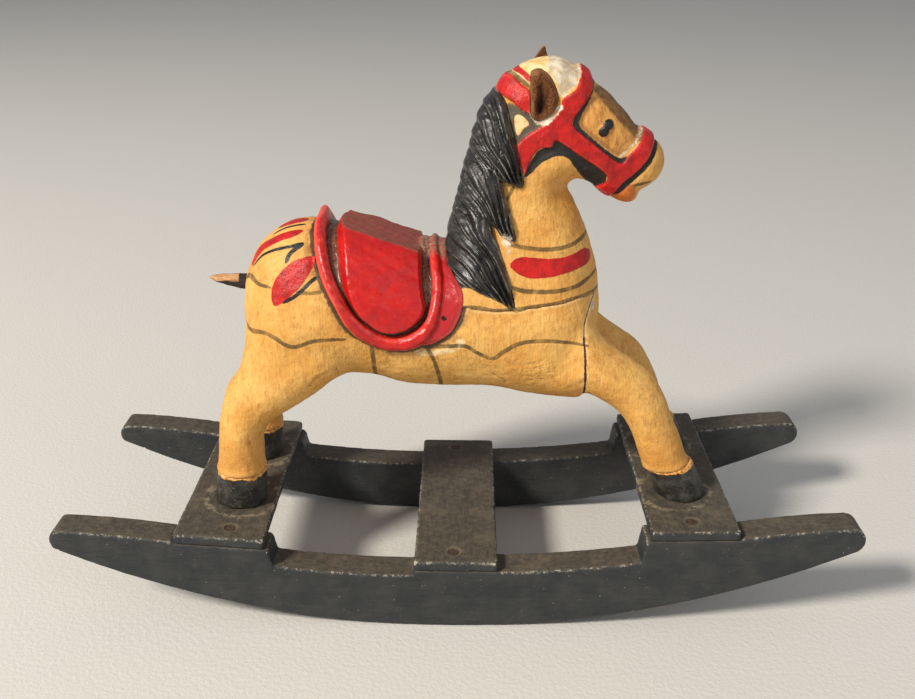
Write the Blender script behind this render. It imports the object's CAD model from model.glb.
"""The looks of the carved and painted rocking horse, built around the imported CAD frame.

Lengths below are millimetres in the frame's axes, and turn into metres when a mesh is made. Carved pieces
are made as fields: a field is a number for every point of a lattice, below zero inside the wood and close
to the distance from its surface. Fields are joined, hollowed and thickened, then turned into meshes.
"""
import math

import bmesh
import bpy
import numpy as np
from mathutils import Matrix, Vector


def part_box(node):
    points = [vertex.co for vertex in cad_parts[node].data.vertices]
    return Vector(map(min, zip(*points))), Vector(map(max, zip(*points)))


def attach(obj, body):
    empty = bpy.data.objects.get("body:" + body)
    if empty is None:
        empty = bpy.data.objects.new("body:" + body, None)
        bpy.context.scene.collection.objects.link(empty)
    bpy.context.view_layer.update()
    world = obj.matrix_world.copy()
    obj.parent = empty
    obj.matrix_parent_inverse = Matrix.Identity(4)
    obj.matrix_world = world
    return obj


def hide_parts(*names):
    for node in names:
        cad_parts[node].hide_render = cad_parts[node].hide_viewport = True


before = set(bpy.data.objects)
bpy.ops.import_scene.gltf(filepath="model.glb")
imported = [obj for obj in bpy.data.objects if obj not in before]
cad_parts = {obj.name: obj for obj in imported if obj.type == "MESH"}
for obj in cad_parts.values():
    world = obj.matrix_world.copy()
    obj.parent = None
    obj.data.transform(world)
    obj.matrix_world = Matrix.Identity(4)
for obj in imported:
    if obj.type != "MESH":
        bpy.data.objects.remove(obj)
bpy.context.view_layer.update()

import openvdb as vdb
from mathutils import Euler, Vector

MM = 0.001
ROUGH = 1.0
BODY_STEP = 0.4 * ROUGH               # lattice spacing on the big carved pieces
FINE_STEP = 0.3 * ROUGH               # on the head, saddle and hooves
MANE_STEP = 0.24 * ROUGH              # on the mane, ears and tail
BASE_STEP = 0.42 * ROUGH              # and on the rockers and slats
NOTHING = -9.0                        # a height far below the wood: nothing stands there
LET_IN_GAP = 0.2                      # between a piece that is let into another and its bed
OUTSIDE = -4.0                        # the depth stored far outside a painted shape
SLATS = ("slat_rear", "slat_middle", "slat_front")
ROCKERS = ("rocker_right", "rocker_left")
HANDS = (("right", -1), ("left", 1))  # each side's name, and the sign of its y
ENDS = ("front", "hind")


# ---------------------------------------------------------------- lattices and fields

class Lattice:
    """A box of evenly spaced points. x, y and z broadcast to its full shape."""

    def __init__(self, low, high, step):
        self.step = step
        self.low = np.floor(np.array(low, float) / step) * step
        counts = np.ceil((np.array(high, float) - self.low) / step).astype(int) + 1
        axes = [self.low[i] + step * np.arange(counts[i]) for i in range(3)]
        self.shape = tuple(counts)
        self.x = axes[0].astype(np.float32)[:, None, None]
        self.y = axes[1].astype(np.float32)[None, :, None]
        self.z = axes[2].astype(np.float32)[None, None, :]

    def side(self):
        """The lattice's x and z seen from the side, as two full flat arrays."""
        return np.broadcast_arrays(self.x[:, 0, :], self.z[0, :, :])

    def read(self, values, places):
        """The values of a full array at any places, blended between the lattice's points."""
        spot = np.clip((places - self.low) / self.step, 0, np.array(self.shape) - 1.001)
        cell = spot.astype(int)
        part = spot - cell
        total = 0
        for corner in np.ndindex(2, 2, 2):
            i, j, k = (cell + corner).T
            total = total + values[i, j, k] * np.prod(np.where(corner, part, 1 - part), axis=1)
        return total


class Chart:
    """A flat map of evenly spaced points, for shapes drawn on the horse's side."""

    def __init__(self, low, high, step=0.25):
        self.low = low
        self.step = step
        lines = [np.arange(a, b + step, step) for a, b in zip(low, high)]
        self.u, self.v = np.meshgrid(*lines, indexing="ij")

    def read(self, values, u, v):
        """The values at any places, blended between the chart's points."""
        a = np.clip((u - self.low[0]) / self.step, 0, self.u.shape[0] - 1.001)
        b = np.clip((v - self.low[1]) / self.step, 0, self.u.shape[1] - 1.001)
        i, j = a.astype(int), b.astype(int)
        a, b = a - i, b - j
        near = (1 - b) * values[i, j] + b * values[i, j + 1]
        far = (1 - b) * values[i + 1, j] + b * values[i + 1, j + 1]
        return (1 - a) * near + a * far

    def inside(self, points):
        """How deep each point of the chart lies inside a closed smooth outline, negative outside."""
        return outline_depth(points, self.u, self.v)

    def stroke(self, points, half_width):
        """How deep each point lies inside a brush stroke that thins at both ends."""
        line = smooth_curve(points, closed=False)
        gap, along = nearest_on(line, self.u, self.v)
        return half_width * np.minimum(1, 0.5 + 5 * np.minimum(along, 1 - along)) - gap


def smooth_curve(points, closed=True, per_span=4):
    """A Catmull-Rom curve through the points."""
    p = np.array(points, float)
    if closed:
        p = np.vstack([p[-1:], p, p[:2]])
    else:
        p = np.vstack([2 * p[:1] - p[1:2], p, 2 * p[-1:] - p[-2:-1]])
    t = np.linspace(0, 1, per_span, endpoint=False)[:, None]
    spans = []
    for a, b, c, d in zip(p[:-3], p[1:-2], p[2:-1], p[3:]):
        spans.append(b + 0.5 * t * (c - a + t * (2 * a - 5 * b + 4 * c - d + t * (3 * (b - c) + d - a))))
    if not closed:
        spans.append(p[-2:-1])
    return np.vstack(spans)


def nearest_on(line, u, v):
    """The distance to a line of short straight runs, and how far along it the nearest point is, 0 to 1."""
    nearest = np.full(u.shape, 1e9)
    place = np.zeros(u.shape)
    for run, ((au, av), (bu, bv)) in enumerate(zip(line[:-1], line[1:])):
        du, dv = bu - au, bv - av
        along = np.clip(((u - au) * du + (v - av) * dv) / (du * du + dv * dv + 1e-12), 0, 1)
        gap = (u - au - along * du) ** 2 + (v - av - along * dv) ** 2
        place = np.where(gap < nearest, run + along, place)
        nearest = np.minimum(nearest, gap)
    return np.sqrt(nearest), place / (len(line) - 1)


def outline_depth(points, u, v):
    """How deep each (u, v) lies inside a closed smooth outline. Points outside get a negative depth."""
    corners = smooth_curve(points)
    inside = np.zeros(u.shape, bool)
    for (au, av), (bu, bv) in zip(corners, np.roll(corners, -1, axis=0)):
        if bv != av:
            inside ^= ((av > v) != (bv > v)) & (u < au + (bu - au) * (v - av) / (bv - av))
    gap, _ = nearest_on(np.vstack([corners, corners[:1]]), u, v)
    return np.where(inside, gap, -gap)


def blend_controls(controls, u, v, reach):
    """Blends rows of (u, v, value, value...) by closeness. Returns one flat array for each value."""
    rows = np.array(controls, float)
    weights = [np.exp(-((u - r[0]) ** 2 + (v - r[1]) ** 2) / (2 * reach * reach)) + 1e-9 for r in rows]
    total = sum(weights)
    return [sum(w * r[i] for w, r in zip(weights, rows)) / total for i in range(2, rows.shape[1])]


def soften(values, passes):
    """Blurs an array a little along every axis, edges held."""
    for _ in range(passes):
        for axis in range(values.ndim):
            margins = [(1, 1) if i == axis else (0, 0) for i in range(values.ndim)]
            padded = np.moveaxis(np.pad(values, margins, mode="edge"), axis, 0)
            around = np.moveaxis(padded[:-2] + padded[2:], 0, axis)
            values = 0.5 * values + 0.25 * around
    return values


def ramp(value, low, high):
    """Rises smoothly from 0 at low to 1 at high."""
    t = np.clip((value - low) / (high - low), 0, 1)
    return t * t * (3 - 2 * t)


def bump_at(u, v, centre, radius):
    """A soft round hill of height 1 around a place."""
    return np.exp(-((u - centre[0]) ** 2 + (v - centre[1]) ** 2) / (radius * radius))


def inflate(depth, across, half, edge):
    """Blows an outline up into a solid. depth is the flat depth inside the outline, across the distance
    from the solid's middle plane, half its half thickness, and edge how far the rounding reaches inwards."""
    rim = soften(np.maximum(1 - depth / edge, 0), 3)[:, None, :]
    half, edge = half[:, None, :], edge[:, None, :]
    round_half = np.minimum(half, edge)
    return ((across / half) ** 2 + rim ** 2) ** 0.5 * round_half - round_half


def smooth_union(a, b, reach):
    """Joins two fields, with a fillet where they meet."""
    gap = np.maximum(reach - np.abs(a - b), 0) / reach
    return np.minimum(a, b) - gap * gap * reach * 0.25


def true_distance(field, step):
    """Rescales a field so that it grows by one for each millimetre."""
    least_slope = 0.35
    slopes = np.gradient(field, step)
    return field / np.maximum(np.sqrt(sum(s * s for s in slopes)), least_slope)


def ripples(x, y, z, size, seed):
    """Smooth unevenness between about -1 and 1, with features of the given size."""
    random = np.random.default_rng(seed)
    waves = 9
    total = 0
    for _ in range(waves):
        way = random.normal(size=3)
        way *= 2 * math.pi / size / np.linalg.norm(way) * random.uniform(0.6, 1.5)
        total = total + np.sin(way[0] * x + way[1] * y + way[2] * z + random.uniform(0, 6.3))
    return total / (waves / 2)


def uneven(lattice, size, seed):
    """Ripples at every point of a lattice."""
    return ripples(lattice.x, lattice.y, lattice.z, size, seed)


def dome(share):
    """A quarter circle's height: 0 at share 0, 1 at share 1 and beyond."""
    return np.sqrt(1 - (1 - np.clip(share, 0, 1)) ** 2)


# ---------------------------------------------------------------- fields to meshes

def mesh_of(name, field, lattice):
    """The surface where the field is zero, as a mesh object."""
    limit = 3 * lattice.step
    grid = vdb.FloatGrid(limit)
    grid.copyFromArray(np.clip(np.broadcast_to(field, lattice.shape), -limit, limit).astype(np.float32))
    points, quads = grid.convertToQuads(0.0)
    points = points.astype(np.float64) * lattice.step + lattice.low
    a, b, c, d = (points[quads[:, i]] for i in range(4))
    volume = np.einsum("ij,ij->i", a, np.cross(b, c) + np.cross(c, d)).sum()
    if volume < 0:
        quads = quads[:, ::-1]
    mesh = bpy.data.meshes.new(name)
    mesh.vertices.add(len(points))
    mesh.vertices.foreach_set("co", (points * MM).astype(np.float32).ravel())
    mesh.loops.add(quads.size)
    mesh.loops.foreach_set("vertex_index", quads.astype(np.int32).ravel())
    mesh.polygons.add(len(quads))
    mesh.polygons.foreach_set("loop_start", np.arange(0, quads.size, 4, dtype=np.int32))
    mesh.update(calc_edges=True)
    piece = bpy.data.objects.new(name, mesh)
    bpy.context.scene.collection.objects.link(piece)
    return piece


def node_box(node):
    """A CAD node's two extreme corners in millimetres."""
    low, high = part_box(node)
    return np.array(low) / MM, np.array(high) / MM


def node_field(node, lattice):
    """A field of a CAD node's solid, made from its mesh. It is only true close to the surface."""
    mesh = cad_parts[node].data
    mesh.calc_loop_triangles()
    points = np.empty(len(mesh.vertices) * 3, np.float32)
    mesh.vertices.foreach_get("co", points)
    triangles = np.empty(len(mesh.loop_triangles) * 3, np.int32)
    mesh.loop_triangles.foreach_get("vertices", triangles)
    grid = vdb.FloatGrid.createLevelSetFromPolygons(
        points.reshape(-1, 3) / np.float32(MM), triangles=triangles.reshape(-1, 3).astype(np.uint32),
        transform=vdb.createLinearTransform(lattice.step), halfWidth=5.0,
    )
    field = np.zeros(lattice.shape, np.float32)
    grid.copyToArray(field, ijk=tuple(int(round(v)) for v in lattice.low / lattice.step))
    return field


def lattice_round(node, step, margin=1.5):
    """A lattice that holds a CAD node."""
    low, high = node_box(node)
    return Lattice(low - margin, high + margin, step)


def slice_off(piece, point, normal):
    """Cuts away what lies beyond the plane on the normal's side, and closes the cut."""
    work = bmesh.new()
    work.from_mesh(piece.data)
    parts = work.verts[:] + work.edges[:] + work.faces[:]
    cut = bmesh.ops.bisect_plane(
        work, geom=parts, plane_co=Vector(point) * MM, plane_no=Vector(normal), clear_outer=True,
    )
    edges = [e for e in cut["geom_cut"] if isinstance(e, bmesh.types.BMEdge)]
    bmesh.ops.edgeloop_fill(work, edges=edges)
    work.to_mesh(piece.data)
    work.free()
    return piece


def corners_of(piece):
    """A mesh's corners in millimetres, and the ways that they face."""
    mesh = piece.data
    places = np.empty(len(mesh.vertices) * 3, np.float32)
    mesh.vertices.foreach_get("co", places)
    facing = np.empty(len(mesh.vertices) * 3, np.float32)
    mesh.vertex_normals.foreach_get("vector", facing)
    return places.reshape(-1, 3).astype(float) / MM, facing.reshape(-1, 3)


def mark(piece, **layers):
    """Stores one number for each corner of the mesh under each name, for the material to read."""
    for name, values in layers.items():
        layer = piece.data.attributes.new(name, "FLOAT", "POINT")
        layer.data.foreach_set("value", np.clip(values, -4, 4).astype(np.float32))


def mark_bends(piece, field, lattice, passes=4):
    """Stores how sharply the surface bends: above zero on outer edges, below zero in hollows."""
    places, _ = corners_of(piece)
    blurred = soften(np.clip(np.broadcast_to(field, lattice.shape), -3, 3), passes)
    mark(piece, bend=lattice.read(blurred, places))


def finish_piece(piece, node, material, sharp=50):
    """Shades a piece, gives it its material and lets it stand for a CAD node."""
    piece.data.shade_smooth()
    piece.data.set_sharp_from_angle(angle=math.radians(sharp))
    piece.data.materials.append(material)
    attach(piece, "root")
    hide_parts(node)


# ---------------------------------------------------------------- the horse's shape

TRUNK = (
    (10.5, 131.5), (14, 135.2), (18, 137.2), (23.5, 137.8), (26.8, 136.4), (29, 135.6), (31.2, 133.8),
    (32.6, 131.9), (36, 129.4), (39.5, 126.2), (43, 122.3), (46.1, 120.2), (48.4, 117.9), (49.8, 115.2),
    (49.8, 112.3), (48.6, 109.8), (46.2, 107.8), (44.6, 106.8), (43.8, 104.8), (41.5, 103.9), (38.3, 104.7),
    (35, 106.9), (32.5, 108.8), (30, 109.6), (28.3, 109), (27.9, 107.5), (29.2, 104.4), (31, 100.5),
    (33, 95.2), (35, 89), (36, 83), (36.6, 76.5), (36.4, 69), (35.8, 60), (34, 54), (30, 53), (19, 53.8),
    (9, 55.5), (-8, 55.7), (-14.5, 56.5), (-20, 58.2), (-29, 58.8), (-38, 59.2), (-46, 61), (-51, 65.5),
    (-53, 72), (-52.6, 80), (-51.5, 85.5), (-48.2, 92), (-45, 95.2), (-40.5, 97.8), (-35, 98.9), (-28, 98.3),
    (-20, 96.4), (-10, 93.2), (-2, 91.5), (1, 93.5), (2.5, 100), (4.5, 107), (6, 113), (7.5, 120), (9, 126),
)
MANE_CREST = (
    (2, 80), (-2.4, 86), (-2.6, 90), (-2.0, 94.9), (-1.4, 98.2), (-0.5, 101.8), (0.4, 105), (1.2, 108.7),
    (1.9, 112.4), (3.1, 116), (3.8, 119.6), (4.8, 122.8), (5.6, 125.6), (7.2, 128.6), (9.6, 131), (14, 131),
    (20, 120), (22, 100), (22, 82), (12, 79),
)
MANE_BUILD = (
    (8, 129, 6.6, 5), (6, 118, 7.2, 6), (14, 118, 9.4, 7), (4, 106, 8, 7), (14, 108, 9.8, 8),
    (2, 95, 10.5, 8), (14, 96, 11.6, 9), (0, 87, 13, 9), (14, 84, 14.6, 9),
)

# x, z, half thickness there, and how far the rounding reaches in from the outline
TRUNK_BUILD = (
    (-51, 74, 14.5, 13), (-46, 90, 15.5, 17), (-38, 76, 17.4, 20), (-20, 76, 17.5, 20), (0, 73, 17.2, 18.5),
    (18, 70, 16.8, 17), (34, 70, 15.6, 11), (8, 88, 14.5, 15), (28, 88, 13.6, 13), (16, 99, 11, 14),
    (17, 110, 9.6, 11), (12, 124, 7.6, 7), (15, 132, 7.6, 6), (25, 131, 9, 7), (24, 118, 9, 7.5),
    (34, 119, 8, 6.5), (41, 114, 6.8, 5.5), (48, 113, 6.2, 5), (42, 105.5, 5.2, 3.2),
)

HIND_LEG = (
    (-51, 71), (-53.6, 63), (-57, 58.2), (-58.4, 54), (-59.3, 48.5), (-60.2, 41), (-60.8, 36), (-60, 31),
    (-50, 31), (-48.6, 36), (-48.7, 41), (-48.2, 46), (-44.2, 50.5), (-37, 55.2), (-30.5, 60), (-26.5, 64),
    (-28, 74), (-36, 82), (-46, 80),
)
HIND_LEG_BUILD = (
    (-40, 74, 7.8, 9), (-42, 62, 8.2, 9), (-50, 54, 7.0, 7.5), (-54, 46, 6.0, 5.6), (-54.6, 36, 5.8, 5.8),
)
FRONT_LEG = (
    (25, 62), (28, 70), (32, 74.5), (35.5, 73), (40, 69.5), (45, 65.8), (50, 61.8), (53, 57.4), (55.4, 52),
    (58.2, 45.2), (60.8, 39.3), (62.5, 34), (53, 31), (50.2, 36.3), (48.9, 38.7), (46.7, 44.3), (44.5, 49),
    (42, 52.6), (38, 55.6), (33, 58), (28, 59.5),
)
FRONT_LEG_BUILD = (
    (30, 66, 7.4, 8), (38, 63, 7.2, 7.5), (46, 58, 6.4, 6.5), (52, 48, 5.5, 5.4), (56, 38, 5.4, 5.4),
)
LEG_FILLET = 3.2       # how far the soft corner between leg and barrel reaches
LEG_Y = (              # height, and how far the leg's middle stands from the horse's
    (30, 12.4), (44, 12.3), (52, 11.4), (60, 10.2), (72, 9.2), (85, 9.0),
)
SPINE = ((-50, 77), (-20, 77.5), (34, 69))   # x and height of the line that the girth is measured round
BARREL = 19.0                                # the barrel's radius

# Where the carved lumps of wood meet: the neck's joint as x and height, the front legs' as height and x
NECK_SEAM = ((-2.5, 81.2), (3, 81.3), (10, 80.4), (15, 80.7), (24, 82.0), (30, 82.8), (37, 82.4))
LEG_SEAM = ((56, 32.8), (61, 32.6), (68, 32.3), (73, 31.9), (77, 32.0), (79.4, 32.9), (82.5, 34.4))
LEG_SEAM_GAP = 0.02    # how far each side stands back from the front legs' joint
NECK_SEAM_GAP = 0.06   # and the neck from its joint with the torso
NECK_BACK = -2.5       # x of the neck block's back face
HIND_CUT = ((-27.0, 0, 58.0), (-10.5, 0, -27.0))     # a point of the hind legs' joint plane, and its slope
FEET = {               # where the hooves begin, and which way they lie
    "hind": ((0, 0, 35.6), (0, 0, -1)),
    "front": ((55.7, 0, 38.5), (0.17, 0, -1)),
}


def along(pairs, value):
    """Reads a table of pairs at any value."""
    keys, results = zip(*pairs)
    return np.interp(value, keys, results)


def girth(x, y, z):
    """How far round the barrel a point lies, from the top of the back."""
    return BARREL * np.arctan2(np.abs(y), z - along(SPINE, x))


def flat_build(outline, build, lattice, reach=7.0):
    """The flat fields that inflate() takes, for one outline."""
    u, v = lattice.side()
    return [outline_depth(outline, u, v)] + blend_controls(build, u, v, reach)


def crest_field(lattice):
    """The bulk of the mane, standing out behind the neck."""
    depth, half, edge = flat_build(MANE_CREST, MANE_BUILD, lattice, 5.0)
    return true_distance(inflate(depth, lattice.y, half, edge), lattice.step)


def horse_field(lattice, legs=True):
    """Torso, neck, head and legs as one carved shape."""
    depth, half, edge = flat_build(TRUNK, TRUNK_BUILD, lattice)
    shape = inflate(depth, lattice.y, half, edge)
    if legs:
        for outline, build in ((HIND_LEG, HIND_LEG_BUILD), (FRONT_LEG, FRONT_LEG_BUILD)):
            depth, half, edge = flat_build(outline, build, lattice)
            for _, side in HANDS:
                across = lattice.y - side * along(LEG_Y, lattice.z)
                shape = smooth_union(shape, inflate(depth, across, half, edge), LEG_FILLET)
    shape = true_distance(shape, lattice.step)
    return shape + 0.22 * uneven(lattice, 11, 5) + 0.05 * uneven(lattice, 3.2, 6)


def neck_seam(lattice):
    """The height of the joint between torso and neck, a little uneven."""
    return along(NECK_SEAM, lattice.x) + 0.15 * uneven(lattice, 5, 41)


def above_foot(end, x, z):
    """How far a place lies above the joint between a leg and its hoof."""
    point, way = FEET[end]
    return (z - point[2]) - way[0] * (x - point[0])


# ---------------------------------------------------------------- what is drawn on the sides

# Places round the barrel: x, and distance from the top of the back
ROLL = (
    (-31.9, -20), (-31.9, 0), (-32.2, 3.5), (-31.9, 8), (-31.0, 13), (-29.5, 18), (-27.2, 23),
    (-24.6, 27.8), (-21.6, 31.4), (-18.0, 33.6), (-14.4, 33.9), (-10.6, 32.6), (-7.2, 29.8), (-5, 26),
    (-3.9, 21), (-3.6, 16), (-4.1, 10.5), (-4.6, 5), (-4.8, 0), (-4.8, -20),
)
SEAT = (
    (-28.2, -20), (-28.2, 0), (-28.4, 4.2), (-28.0, 8), (-27.5, 12), (-27.0, 16), (-26.0, 20.6),
    (-24.2, 24.6), (-21.5, 28.2), (-18, 30.5), (-14.5, 30.9), (-10.7, 29.4), (-7.9, 26.6), (-6.5, 23.5),
    (-6.7, 20.5), (-7.3, 16.3), (-7.6, 10.2), (-7.6, 5.4), (-7.4, 0), (-7.4, -20),
)
FLAP = (
    (-6, -20), (-6, 4), (-5, 9), (-4, 13), (-4, 20), (-5, 26), (-7.5, 30), (-9, 33), (-5.6, 32.8),
    (-2.1, 30.2), (0.1, 27.7), (1.7, 23.9), (2.5, 20.2), (2.4, 16.7), (1.1, 13.6), (-0.4, 9.8), (-1.0, 4),
    (-1.0, -20),
)
SEAT_TOP = ((-30, 99.9), (-27.5, 99.3), (-17.8, 96.5), (-8, 93.2), (-4, 91.9))   # x, z
LEAVES = (
    ((-50, 6.2), (-49.2, 3.1), (-45, 3.9), (-41, 4.9), (-36.2, 5.3), (-38.8, 7.2), (-44.4, 7.1),
     (-48.6, 6.9)),
    ((-42.8, 24.4), (-43.5, 21), (-42.9, 18), (-41.2, 15.6), (-38.8, 13.7), (-36, 12.7), (-32.8, 12.3),
     (-33.6, 15.4), (-35.6, 18.7), (-38.2, 21.4), (-40.4, 23.4)),
    ((-43.4, 0), (-41.5, 1.4), (-38, 1.7), (-36, 0.9), (-36, -1), (-38, -1.5), (-41.5, -1.2)),
)
DARK_STROKES = (     # half width, then places round the barrel
    (0.42, (-49.8, 7.4), (-46.8, 8.4), (-43.1, 9.0), (-39.1, 9.5), (-35.9, 8.9)),
    (0.6, (-39.8, 13.3), (-39.0, 11.5), (-37.5, 10.2), (-35.8, 9.3)),
    (0.50, (-40.6, 23.6), (-37.2, 21.6), (-34.0, 18.6), (-32.0, 16.8)),
    (0.45, (-44.2, 2.4), (-40, 2.9), (-36, 3.0)),
)
OLIVE_LINES = (
    (0.40, (-53, 4), (-50.9, 8.4), (-47.6, 16.3), (-43.8, 19.0)),
    (0.35, (-37.0, 20.8), (-33.5, 21.1), (-31.2, 20.8)),
    (0.45, (-54, 37), (-50.3, 35), (-46.2, 32.6), (-42.8, 33.2), (-38.7, 35.5), (-33.9, 34.1), (-30.3, 34),
     (-25.8, 34)),
    (0.45, (-6.5, 33.9), (-1.4, 32.3), (2.9, 31.4), (5.5, 32.8), (9.4, 34.6), (12.4, 31.6), (16.2, 28.5),
     (21.3, 26.8), (26.6, 26.4), (33, 26.6)),
    (0.42, (-19.5, 35), (-19.4, 42), (-19.5, 50), (-19.3, 60)),
    (0.42, (-6.2, 33.5), (-4.4, 38), (-3.2, 46), (-2.8, 60)),
)
WORN_PATCH = (
    (-9, 34.8), (-5, 34.2), (-1.6, 32.6), (1.6, 29.6), (3.2, 30.4), (0.6, 33.4), (-3.6, 35.6), (-7.6, 36.4),
)
DENTS = (
    (0.22, (-37.4, 46.8), (-35.2, 44.6), (-32.6, 42.8), (-30.4, 42.4)),
    (0.30, (-28.6, 42.6), (-28.3, 45), (-28.8, 47.4)),
    (0.20, (0.4, 46.2), (1.8, 45.2), (3.0, 46.2)),
    (0.20, (10, 40.5), (12.6, 42.6), (13.2, 45)),
)
CHIPS = ((41.8, -11.2, 70.2), (41.8, 11.2, 70.2), (34.6, -8.5, 80.0))   # bare spots on chest and legs
CHIP_SIZE = 1.1
CRACK_TOP = 73.5       # below this height the front legs' glue line shows as a brown crack
CRACK_HALF = 0.3       # half the crack's width, and a third of it above
RIDGE_FOOT = 72        # above this height the glue line's edge is rubbed cream
RIDGE_HALF = 0.5
WRINKLED = ((21, 65), 6)         # the place on the chest where the paint has wrinkled, and its radius

# Places on the neck and head, seen from the side: x, z
BRIDLE = (
    (14.4, 119), (17, 121.6), (20.6, 123.9), (23.4, 126.6), (24.6, 129.8), (27.2, 131.6), (28.2, 134.6),
    (28.6, 138), (30.6, 137), (31.5, 132), (29.9, 129.2), (27, 125), (27.3, 123.2), (31.1, 120.1),
    (38.3, 114.8), (40.3, 116.6), (43.2, 119.8), (44.8, 123), (47.4, 121.4), (45.9, 117.2), (44.4, 114.6),
    (42.5, 112.3), (39.4, 109.7), (36.8, 105.8), (33.6, 108), (35.6, 110.4), (34.8, 112.7), (28.3, 117.2),
    (23.5, 120.2), (22.2, 118.8), (19.9, 118.5), (18.1, 116.7), (16.2, 112.4), (14.9, 116),
)
JAW_SHADE = (
    (16.2, 112), (18.6, 116.9), (20.4, 118.5), (22.4, 118.8), (23.6, 120.2), (28.5, 117.1), (34.6, 113.2),
    (35.6, 111.2), (35.1, 108.2), (32.8, 108.6), (30.4, 110.9), (27.8, 114.3), (26.2, 116.3),
    (23.6, 116.8), (20, 115.1), (17.8, 112.8),
)
CROWN = (
    (9, 130.4), (10.5, 133.6), (12.8, 134.0), (15.2, 132.4), (16.9, 130.9), (17.4, 126.2), (14.9, 127.3),
    (12.9, 128.7), (10.6, 129.8),
)
TEMPLE = ((12.4, 128.2), (17.2, 126), (20.2, 123.6), (17, 121.5), (14.4, 118.9), (13.2, 121), (12.4, 125))
TEMPLE_SPOT = ((13.8, 125.4), (15.2, 125.7), (17.0, 123.9), (15.8, 122.8), (14.6, 121.2), (13.9, 123))
POLL = (
    (12.2, 134.9), (16.4, 132.8), (17.5, 130.6), (20, 131.5), (24.2, 130.0), (26.6, 131.6), (27.7, 134.6),
    (27.9, 140), (12, 140),
)
WORN_BROW = (
    (22, 138.6), (27.6, 138.6), (28.4, 134), (25.6, 131.3), (24.2, 130.2), (22.7, 133.6), (21, 135.6),
)
EAR_CHIP = (
    (17.2, 126.4), (18.1, 124.4), (20.6, 123.5), (22.6, 125.2), (24.6, 127.8), (23.6, 128.2), (21, 125.9),
)
FACE = (
    (32.4, 130), (28.6, 125.2), (29.3, 122.9), (33.4, 119.7), (36.4, 117.5), (38.6, 117.1), (43.4, 121.3),
    (40.5, 127),
)
FACE_RIDGE = ((31.2, 131.4), (32.6, 129.8), (36.7, 125.4), (41.7, 120.4), (44, 118.4))
EAR_LEAVES = {
    "right": ((17.1, 135.2), (18.5, 136.1), (20.4, 135.4), (22.0, 133.7), (23.3, 131.0), (23.5, 128.5),
              (22.3, 126.3), (20.6, 124.9), (18.9, 124.4), (17.7, 125.0), (17.1, 126.8), (16.95, 130.1),
              (16.95, 132.9)),
    "left": ((17.4, 134), (19.0, 136.9), (20.9, 139.3), (21.7, 137.6), (22.5, 135.4), (23.3, 132.4),
             (23.5, 129.2), (22.5, 126.4), (20.6, 124.9), (18.9, 124.4), (17.7, 125.1), (17.1, 127.0),
             (16.95, 130.6)),
}
EAR_PIT = (
    (18.4, 132.4), (20.0, 132.6), (21.1, 130.4), (21.4, 127.6), (20.6, 125.9), (19.1, 125.3),
    (18.1, 126.8), (18.1, 130.2),
)
EAR_BED = 6.9          # how far from the middle of the head the ears' sockets are cut
EAR_THICK = 3.05
LIP = ((37.6, 107.2), (39.1, 108.7), (41.4, 109.5), (43, 108.2), (43, 106), (41, 103), (37, 104.6))
OVAL = (
    (13.4, 91.6), (15.8, 93.4), (21.7, 93.1), (26, 93.2), (29.5, 93.8), (31.6, 94.1), (33.2, 92.6),
    (32.8, 90.6), (29.6, 89.9), (26.1, 89.3), (21.8, 88.6), (18.4, 88.4), (15.4, 89.5),
)
MOUTH = ((47.4, 120.4), (45.9, 116.2), (43.4, 112.7), (40.2, 109.6), (37.6, 106.8))
HEAD_BLACKS = (
    (0.62, (32.0, 133.4), (30.0, 129.6), (28.0, 125.7), (27.9, 123.2), (31, 120.3), (35.3, 116.9),
     (38.4, 115.2), (39.8, 115.9)),
    (0.72, *MOUTH),
)
HEAD_OLIVES = (
    (0.40, (12.4, 96.4), (17.4, 95.6), (21.6, 95.2), (25.9, 95.4), (29.5, 96.1), (33, 97.2)),
    (0.42, (14, 86.5), (16.8, 85.5), (21.9, 85.3), (26.2, 85.6), (29.7, 86.0), (35.5, 87.8)),
    (0.36, (-2.5, 81.5), (5.8, 81.5), (10.1, 80.9), (14.3, 81.2), (19.4, 81.8), (24.5, 82.5), (29.4, 83.2),
     (36, 83.3)),
    (0.30, (12.5, 106.6), (13.9, 109.6)),
    (0.30, (37.8, 107.6), (41.9, 109.0), (46.5, 109.9)),
    (0.40, (10.4, 134.4), (13.7, 134.0), (16.6, 132.1)),
)
CROWN_LINE = (0.6, (12.0, 135.5), (14.8, 135.0), (17.4, 133.1))
LOCK_CHIP = (
    (11.0, 98.0), (12.4, 97.2), (13.6, 97.4), (13.5, 95.4), (12.9, 93.9), (12.3, 95.6), (11.6, 96.4),
)
NOSE_CHIP = (0.34, (38.4, 116.2), (41.3, 119.0), (43.4, 121.4), (44.6, 123.4))
EYES = ((35.1, 123.75), (34.1, 122.25))
EYE_SIZE = 1.25                  # radius of each of the eye's two dots
HOLLOWS = (((26, 107.5), 3.6, 0.9), ((48, 113.5), 0.9, 0.5))     # throat and nostril: place, radius, depth

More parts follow.
